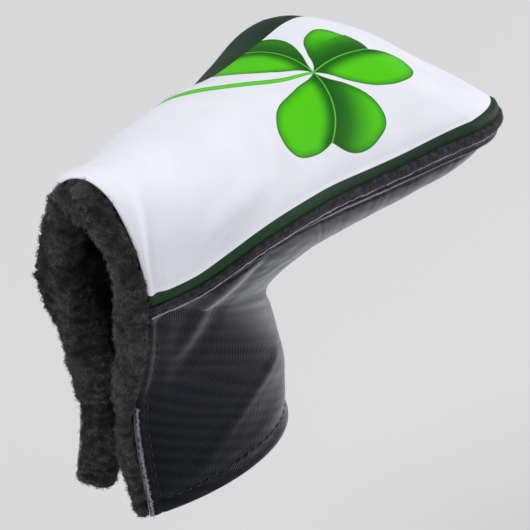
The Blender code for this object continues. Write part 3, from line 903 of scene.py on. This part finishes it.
def build_side_foam(side, word):
    stops = (0, TOE_CORNER, BELLY_STATION, HEEL_STATION, HEM_STATION - 0.1)
    station = spaced(stops, (24, 24, 40, 40))
    grid = side_surface(station, np.linspace(0.04, 0.985, 40))
    normal = inward(grid)
    swell = 0.12 * lumps(grid, 6.0, 22)[..., None]
    sheets = [grid + normal * (FOAM_DEPTH + swell), grid + normal * (FOAM_DEPTH + FOAM + swell)]
    lowered = np.zeros_like(grid)
    lowered[..., 2] = -1.2 * (1 - fade((station - HEEL_STATION) / 0.6))[:, None]
    lowered[:, 6:] = 0
    sheets = [(s + lowered) * (1, -side, 1) for s in sheets]
    solid = closed_sheet(*sheets, numbered(grid), perimeter(*grid.shape[:2]))
    foam = make_piece(f"{word}_padding", *solid, FOAM_LOOK)
    bend_across_fold(foam, side)
    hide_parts(f"{word}_side_foam", f"{word}_flap_foam")


# Fleece

RIM_ROWS = 16
LIP = 1.2
# How far the fleece rolls out of the opening, and how deep under the shell's face it starts.
ROLL_OUT = ((HEM_HEIGHT, 3.0), (-50, 4.0), (-20, 4.6), (10, 4.8), (37, 4.0))
ROLL_START = ((HEM_HEIGHT, 2.0), (-42, 1.7), (-30, 0.4), (-10, -0.2), (5, 0.5), (28, 1.4), (37, 2.0))
PILE_STRANDS = 9900


def fleece_thickness(grid):
    height = grid[..., 2]
    edge = np.where(height < 0, through(EDGE_X, height), ARCH_LEAN * height / RIDGE_HEIGHT[0][1])
    reach = fade(1 - (grid[..., 0] - edge) / OPENING_ROLL_REACH)
    return (FLEECE + (FLEECE_AT_OPENING - FLEECE) * reach)[..., None]


def roll_of_fleece(edge, normal, inner_edge, heading):
    """Rows of points that start just clear of the shell's edge and roll round to the inside."""
    height = edge[:, 2]
    start = edge + normal * through(ROLL_START, height)[:, None] + heading * 0.35
    out = heading * through(ROLL_OUT, height)[:, None]
    middle, arm = (start + inner_edge) / 2, (start - inner_edge) / 2
    rows = [edge + normal * 1.6 + heading * 0.3]
    for angle in np.linspace(0, math.pi, RIM_ROWS)[:-1]:
        across, ahead = math.cos(angle), math.sin(angle)
        across = math.copysign(abs(across) ** 0.75, across)
        rows.append(middle + arm * across + out * ahead**0.6)
    return np.stack(rows)


def pile_relief(at):
    """Curly clumps of the fleece, in millimetres."""
    coarse = lumps(at, 5.2, 31)
    clumps = np.abs(lumps(at, 2.3, 32))
    fine = lumps(at, 1.2, 33)
    return 0.55 * coarse + 0.95 * (0.35 - clumps) + 0.35 * fine


def rough_up(piece):
    """Pushes a fleece mesh in and out along its normals, and stores how high each point stands as painted
    shade, so that its hollows are coloured darker.
    """
    mesh = piece.data
    count = len(mesh.vertices)
    at, normal = np.empty(count * 3), np.empty(count * 3)
    mesh.vertices.foreach_get("co", at)
    mesh.vertices.foreach_get("normal", normal)
    at, normal = at.reshape(-1, 3), normal.reshape(-1, 3)
    relief = pile_relief(at / MM)
    mesh.vertices.foreach_set("co", (at + normal * relief[:, None] * MM).ravel())
    # Painted shade: the lower a point stands, the darker it is coloured.
    shade = mesh.attributes.new("shade", "FLOAT", "POINT")
    shade.data.foreach_set("value", (0.5 + 0.55 * relief).clip(0, 1).astype(np.float32))
    mesh.update()


def grow_pile(name, ground, wanted, count, seed, look=PILE_LOOK, length=(0.6, 1.5), radius=0.08):
    """Curly strands standing on the faces of a ground mesh, denser where wanted is higher."""
    mesh = ground.data
    mesh.calc_loop_triangles()
    at = np.empty(len(mesh.vertices) * 3)
    mesh.vertices.foreach_get("co", at)
    at = at.reshape(-1, 3) / MM
    tri = np.empty(len(mesh.loop_triangles) * 3, np.int32)
    mesh.loop_triangles.foreach_get("vertices", tri)
    tri = tri.reshape(-1, 3)
    a, b, c = at[tri[:, 0]], at[tri[:, 1]], at[tri[:, 2]]
    cross = np.cross(b - a, c - a)
    area = np.linalg.norm(cross, axis=1) / 2
    weight = area * np.clip(wanted((a + b + c) / 3 + ORIGIN, unit(cross)), 0, None)
    random = np.random.default_rng(seed)
    chosen = random.choice(len(tri), count, p=weight / weight.sum())
    s, r = random.random((2, count, 1))
    s, r = np.where(s + r > 1, 1 - s, s), np.where(s + r > 1, 1 - r, r)
    root = a[chosen] + s * (b[chosen] - a[chosen]) + r * (c[chosen] - a[chosen])
    normal = unit(cross[chosen])
    side = unit(np.cross(normal, random.normal(size=(count, 3))))
    other = np.cross(normal, side)
    # Strands lean towards the tops of the clumps they grow on, so that they gather in tufts.
    height = pile_relief(root)
    uphill = np.stack([pile_relief(root + d) - height for d in np.eye(3) * 0.4], axis=-1)
    uphill -= (uphill * normal).sum(axis=1, keepdims=True) * normal
    uphill = unit(uphill) * np.minimum(np.linalg.norm(uphill, axis=1, keepdims=True) * 5, 0.35)
    long = random.uniform(*length, (count, 1))
    lean = random.uniform(0.5, 1.4, (count, 1))
    turn = random.uniform(2.5, 6.0, (count, 1)) * np.where(random.random((count, 1)) < 0.5, -1, 1)
    steps = np.linspace(0, 1, 4)[None, :, None]
    curl = turn[:, None] * steps
    swing = side[:, None] * np.cos(curl) + other[:, None] * np.sin(curl)
    path = root[:, None] - normal[:, None] * 0.35
    path = path + long[:, None] * (normal[:, None] * steps * (1 - 0.3 * lean[:, None] * steps))
    path = path + long[:, None] * lean[:, None] * 0.5 * steps * (swing - 0.4 * side[:, None])
    path = path + long[:, None] * uphill[:, None] * steps**1.3
    thin = radius * random.uniform(0.7, 1.3, (count, 1)) * (1 - 0.6 * np.linspace(0, 1, 4) ** 1.5)[None]
    vertices, faces = tubes(path, thin, 3)
    # Painted shade: strands rooted low in the pile's hollows are coloured darker, with a random tone on
    # top.
    shade = (0.4 + 0.75 * height + random.uniform(-0.2, 0.3, count)).clip(0, 1)
    fields = {"shade": np.repeat(shade, 4 * 3)}
    return make_piece(name, vertices + ORIGIN, faces, look, fields, grown=True)


def build_top_fleece():
    stops = (0, TOE_CORNER, BELLY_STATION, HEEL_STATION - 3.2, HEEL_STATION)
    station = spaced(stops, (16, 16, 26, 46))
    t = np.linspace(0, 1, 62)
    half = top_surface(station, t)
    normal = inward(half)
    outer = half + normal * FLEECE_DEPTH
    inner = outer + normal * fleece_thickness(half)
    # The side edges reach down past the piping line, into the fleece of the sides.
    ease = (1 - np.clip(np.arange(len(t)) / 6, 0, 1))[None]
    for sheet in (outer, inner):
        sheet[..., 2] -= 0.6 * ease
    rim = roll_of_fleece(half[-1], normal[-1], inner[-1], np.array((-1.0, 0, 0)))
    path = np.concatenate([outer, rim, inner[::-1]])
    rows, columns = path.shape[:2]
    full = mirrored(path)
    index = numbered(full)
    for end in (0, rows - 1):
        index[end, columns:] = index[end, : columns - 1][::-1]
    faces = grid_faces(index).tolist()
    last = len(station) - 1
    for edge in (index[:, 0], index[:, -1]):
        for i in range(last):
            faces.append((edge[i], edge[i + 1], edge[rows - 2 - i], edge[rows - 1 - i]))
        faces.append(tuple(edge[last : rows - last]))
    fleece = make_piece("top_fleece", full.reshape(-1, 3), faces, FLEECE_LOOK)
    rough_up(fleece)
    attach(fleece, "cover")
    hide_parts("top_lining")

    def wanted(at, normal):
        edge = ARCH_LEAN * at[:, 2].clip(0) / RIDGE_HEIGHT[0][1]
        depth = at[:, 0] - edge
        inside = (normal[:, 2] < 0.25) | (depth < 0.6)
        rolled = np.where(normal[:, 2] > 0.55, 0.4, 1.6)
        return np.where(depth < 0.8, rolled, fade(1 - (depth - 1) / 22)) * inside

    pile = grow_pile("top_fleece_pile", fleece, wanted, PILE_STRANDS, 41)
    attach(pile, "cover")


def build_side_fleece(side, word):
    stops = (0, TOE_CORNER, BELLY_STATION, HEEL_STATION - 2.5, HEM_STATION)
    station = spaced(stops, (14, 14, 26, 150))
    share = np.linspace(0, 1, 58)
    t = 0.4 * share + 0.6 * share**2
    grid = side_surface(station, t)
    normal = inward(grid)
    normal[..., 2] *= fade((HEM_STATION - station) / 2)[:, None]
    normal = unit(normal)
    outer = grid + normal * FLEECE_DEPTH
    inner = outer + normal * fleece_thickness(grid)
    on_piping = 1 - fade((station - HEEL_STATION) / 0.8)
    ease = 1 - np.clip(np.arange(len(t)) / 6, 0, 1)
    for sheet in (outer, inner):
        sheet[..., 2] += 0.6 * on_piping[:, None] * ease[None]
        sheet[..., 1] = sheet[..., 1].clip(max=-0.25)
    opening = fade((station - HEEL_STATION + 0.5) / 0.5)[:, None]
    rolled = roll_of_fleece(grid[:, 0], normal[:, 0], inner[:, 0], points(-1.0, -0.15, 0.0))
    turn = np.cos(np.linspace(0, math.pi, len(rolled) + 1)[:-1, None, None])
    plain = (outer[:, 0] * (1 + turn) + inner[:, 0] * (1 - turn)) / 2
    rim = rolled * opening + plain * (1 - opening)
    rim[..., 1] = rim[..., 1].clip(max=-0.25)
    loop = np.concatenate([outer[:, ::-1], np.moveaxis(rim, 0, 1), inner], axis=1)
    middle = (outer + inner) / 2
    rim_middle = np.repeat(middle[:, :1], rim.shape[0], axis=1)
    centre = np.concatenate([middle[:, ::-1], rim_middle, middle], axis=1)
    lip = []
    for angle in np.linspace(0, math.pi / 2, 8)[1:]:
        ring = centre[-1] + (loop[-1] - centre[-1]) * max(math.cos(angle), 0.04)
        ring[:, 2] -= LIP * math.sin(angle)
        lip.append(ring)
    loop = np.concatenate([loop, np.stack(lip)])
    index = numbered(loop)
    columns = index.shape[1]
    faces = grid_faces(index).tolist()
    last, first = index[:, -1], index[:, 0]
    faces += np.stack([last[:-1], last[1:], first[1:], first[:-1]], axis=-1).tolist()
    for end in (index[0], index[-1]):
        for k in range(len(t) - 1):
            faces.append((end[k], end[k + 1], end[columns - 2 - k], end[columns - 1 - k]))
        faces.append(tuple(end[len(t) - 1 : columns - len(t) + 1]))
    vertices = (loop * (1, -side, 1)).reshape(-1, 3)
    fleece = make_piece(f"{word}_fleece", vertices, faces, FLEECE_LOOK)
    rough_up(fleece)
    bend_across_fold(fleece, side)
    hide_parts(f"{word}_side_lining", f"{word}_flap_lining")

    def wanted(at, normal):
        depth = at[:, 0] - through(EDGE_X, at[:, 2].clip(HEM_HEIGHT, EDGE_TOP))
        outside = normal[:, 1] * side > 0.3
        near = np.where(depth < 0.8, 1.6, fade(1 - (depth - 1) / 20) * ~outside)
        near = near * np.where((at[:, 2] < -34) & (normal[:, 1] * side > 0.45), 0.15, 1)
        lip_zone = (at[:, 2] < HEM_HEIGHT + 0.2) * 0.9
        return np.where(at[:, 2] < 4, np.maximum(near, lip_zone), 0)

    pile = grow_pile(f"{word}_fleece_pile", fleece, wanted, PILE_STRANDS, 43 + side)
    bend_across_fold(pile, side)


# Piping, stitches and edges


def piping_route(steps, drop=0.0, out=0.6):
    """The piping's centre line from the front heel round the toe to the back heel."""
    shares, stops = (0, 0.35, 0.72, 1), (HEEL_STATION, BELLY_STATION, TOE_CORNER, 0)
    station = np.interp(np.linspace(0, 1, steps), shares, stops)
    front = piping_line(station)
    path = np.concatenate([front, (front * (1, -1, 1))[-2::-1]])
    outward = unit(np.cross(np.gradient(path, axis=0), (0, 0, 1)))
    if outward[0, 1] > 0:
        outward = -outward
    path = path + outward * out
    path[:, 2] -= drop
    return path, outward


CORE_RADIUS = 0.5
PIPING_GIRTH = ((-2, 0.62), (14, 0.7), (45, 0.85), (80, 1.0), (122, 1.12), (145, 1.15))


def build_piping():
    path, outward = piping_route(300)
    for end, inner in ((0, 1), (-1, -2)):
        path[end] += unit(path[end] - path[inner]) * 0.9
    sides = 20
    angle = np.arange(sides) * 2 * math.pi / sides
    around = np.cos(angle)[None, :, None] * outward[:, None]
    slim = through(PIPING_GIRTH, path[:, 0])[:, None, None]
    ring = (around * 1.25 + np.sin(angle)[None, :, None] * np.array((0, 0, 1.45))) * slim
    vertices = path[:, None] + ring
    relief = 0.16 * lumps(vertices, 1.3, 51) + 0.12 * lumps(vertices, 0.7, 52)
    vertices = vertices + unit(ring) * relief[..., None]
    index = np.arange(len(path) * sides).reshape(len(path), sides)
    index = np.concatenate([index, index[:, :1]], axis=1)
    faces = grid_faces(index).tolist() + [tuple(index[0, :-1]), tuple(index[-1, :-1])]
    # Painted shade: the hollows of the piping's lumpy plush are coloured darker.
    shade = (0.5 + 1.2 * relief).clip(0, 1)
    piping = make_piece("piping", vertices.reshape(-1, 3), faces, PIPING_LOOK, {"shade": shade})
    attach(piping, "cover")
    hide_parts("seam_piping")

    core_path, _ = piping_route(300)
    core_radii = np.full((1, len(core_path)), CORE_RADIUS)
    core = make_piece("piping_core", *tubes(core_path[None], core_radii, 10), COTTON)
    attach(core, "cover")
    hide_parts("piping_cord")

    def evenly(at, _normal):
        return np.ones(len(at))

    plush = grow_pile("piping_plush", piping, evenly, 9000, 53, PIPING_LOOK, (0.4, 0.85), 0.05)
    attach(plush, "cover")

    welt, _ = piping_route(420, drop=1.85, out=0.95)
    jitter = 0.09 * lumps(welt, 1.6, 54)[:, None] * np.array((1, 1, 1.4))
    radii = 0.16 + 0.09 * lumps(welt, 1.1, 55)
    line = make_piece("welt_edge", *tubes((welt + jitter)[None], radii[None], 6), PALE_THREAD)
    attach(line, "cover")


STITCH_RADIUS = 0.26
STITCH_PITCH = 3.1
STITCH_LENGTH = 2.3


def stitch_row(name, path, normal):
    """A row of sewn stitches, each a short thread that dips in at both ends."""
    along = np.concatenate([[0], np.cumsum(np.linalg.norm(np.diff(path, axis=0), axis=1))])
    starts = np.arange(STITCH_PITCH / 2, along[-1] - STITCH_LENGTH, STITCH_PITCH)
    steps = np.linspace(0, 1, 7)
    at = starts[:, None] + steps * STITCH_LENGTH

    def read(values):
        return np.stack([np.interp(at, along, values[:, k]) for k in range(3)], axis=-1)

    lift = (0.42 * np.sin(np.pi * steps) - 0.22)[None, :, None]
    paths = read(path) - unit(read(normal)) * lift
    radii = STITCH_RADIUS * (0.55 + 0.45 * np.sin(np.pi * steps))[None].repeat(len(starts), axis=0)
    return make_piece(name, *tubes(paths, radii, 8), DARK_THREAD)


def build_stitches(side, word):
    grid, normal, from_start, on_piping, above_hem = side_fields(SIDE_STATIONS, SIDE_ARC)
    out = side_relief(grid, SIDE_STATIONS, SIDE_ARC, from_start, on_piping, above_hem)
    skin = (grid - normal * out[..., None]) * (1, -side, 1)
    normal = normal * (1, -side, 1)

    rows = [i for i, s in enumerate(SIDE_STATIONS) if s > HEEL_STATION + 1.2]
    edge_path, edge_normal = [], []
    for i in rows:
        if above_hem[i, 0] > HEM_WIDTH:
            j = np.searchsorted(from_start[i], OPENING_HEM_WIDTH)
            edge_path.append(skin[i, j])
            edge_normal.append(normal[i, j])
    hem_path, hem_normal = [], []
    first = np.searchsorted(from_start[-1], OPENING_HEM_WIDTH)
    half_way = len(SIDE_STATIONS) // 2
    for j in range(first, len(SIDE_ARC) - 1):
        i = half_way + np.abs(above_hem[half_way:, j] - HEM_WIDTH).argmin()
        hem_path.append(skin[i, j])
        hem_normal.append(normal[i, j])
    runs = (("opening", edge_path, edge_normal), ("hem", hem_path, hem_normal))
    for part, path, facing in runs:
        name = f"{word}_{part}_stitches"
        row = stitch_row(name, np.array(path), np.array(facing))
        bend_across_fold(row, side)


def build_frayed_edge(side, word):
    """Pale threads of the leatherette's backing that show along the flap's cut edge."""
    random = np.random.default_rng(61 + side)
    count = 420
    z = random.uniform(HEM_HEIGHT + 0.5, -36, count)
    root = opening_edge(z) * (1, -side, 1)
    root = root + points(0.3, side * 0.5, 0) + random.normal(0, 0.12, (count, 3))
    down = unit(random.normal(0, 1, (count, 3)) * (0.35, 0.35, 1.0))
    steps = np.linspace(0, 1, 4)[None, :, None]
    long = random.uniform(0.5, 1.5, (count, 1, 1))
    paths = root[:, None] + down[:, None] * long * (steps - 0.5)
    paths = paths + random.normal(0, 0.08, paths.shape)
    radii = np.full((count, 4), 0.05) * random.uniform(0.6, 1.5, (count, 1))
    fray = make_piece(f"{word}_frayed_edge", *tubes(paths, radii, 4), PALE_THREAD)
    bend_across_fold(fray, side)


# Stage: floor, light and camera

VIEW_AZIMUTH = math.radians(53.45)
VIEW_ELEVATION = math.radians(35.64)
VIEW_ROLL = math.radians(-1.84)
LOOK_AT = (np.array((75.5, 0.0, -35.7)) - ORIGIN) * MM
VIEW_WIDTH = 0.1444
LENS, SENSOR = 500.0, 36.0


def camera_axes():
    a, e, r = VIEW_AZIMUTH, VIEW_ELEVATION, VIEW_ROLL
    right = np.array((math.cos(a), -math.sin(a), 0))
    up = np.array((math.sin(e) * math.sin(a), math.sin(e) * math.cos(a), math.cos(e)))
    right, up = math.cos(r) * right + math.sin(r) * up, math.cos(r) * up - math.sin(r) * right
    return right, up, np.cross(right, up)


def add_light(name, place, aim, size, power):
    data = bpy.data.lights.new(name, "AREA")
    data.energy = power
    data.size = size
    made = bpy.data.objects.new(name, data)
    made.location = place
    made.rotation_euler = (Vector(aim) - Vector(place)).to_track_quat("-Z", "Y").to_euler()
    bpy.context.scene.collection.objects.link(made)


def build_stage():
    right, up, back = camera_axes()
    data = bpy.data.cameras.new("camera")
    data.lens, data.sensor_width = LENS, SENSOR
    camera = bpy.data.objects.new("camera", data)
    distance = VIEW_WIDTH * LENS / SENSOR
    turn = np.stack([right, up, back], axis=1)
    rows = [[*row, p] for row, p in zip(turn, LOOK_AT + back * distance)]
    camera.matrix_world = Matrix([*rows, [0, 0, 0, 1]])
    data.clip_end = 20
    bpy.context.scene.collection.objects.link(camera)
    bpy.context.scene.camera = camera

    made, tree, surface = new_material("studio_floor", 0.9)
    cloud = noise(tree, 3.0, 2.0, object_place(tree))
    shade = ramp(tree, cloud, ((0.3, rgb("E2E2E2")), (0.7, rgb("E4E4E4"))))
    tree.links.new(shade, surface.inputs["Base Color"])
    mesh = bpy.data.meshes.new("floor")
    size, height = 6.0, -0.24
    corners = ((-size, -size), (size, -size), (size, size), (-size, size))
    mesh.from_pydata([(x, y, height) for x, y in corners], [], [(0, 1, 2, 3)])
    mesh.materials.append(made)
    floor = bpy.data.objects.new("floor", mesh)
    bpy.context.scene.collection.objects.link(floor)

    world = bpy.data.worlds.new("studio")
    world.use_nodes = True
    background = world.node_tree.nodes["Background"].inputs
    background["Color"].default_value = (0.97, 0.97, 1.0, 1)
    background["Strength"].default_value = 0.5
    bpy.context.scene.world = world
    bpy.context.scene.view_settings.view_transform = "Standard"

    add_light("key", (-0.55, 0.25, 1.1), (0.03, 0, 0), 0.8, 8.5)
    add_light("front", (-0.1, -0.8, 1.1), (0.03, 0, 0), 0.8, 2.4)
    add_light("side", (1.2, -0.45, -0.05), (0.05, 0, 0.03), 0.5, 9.0)


def main():
    build_top_skin()
    build_top_foam()
    sides = ((FRONT, "front"), (BACK, "back"))
    for side, word in sides:
        build_side_foam(side, word)
    build_top_fleece()
    for side, word in sides:
        build_side_skin(side, word)
        build_side_fleece(side, word)
        build_stitches(side, word)
        build_frayed_edge(side, word)
        for level in ("upper", "lower"):
            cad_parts[f"{word}_flap_{level}_magnet"].data.materials[0] = NICKEL
    build_piping()
    build_stage()


main()
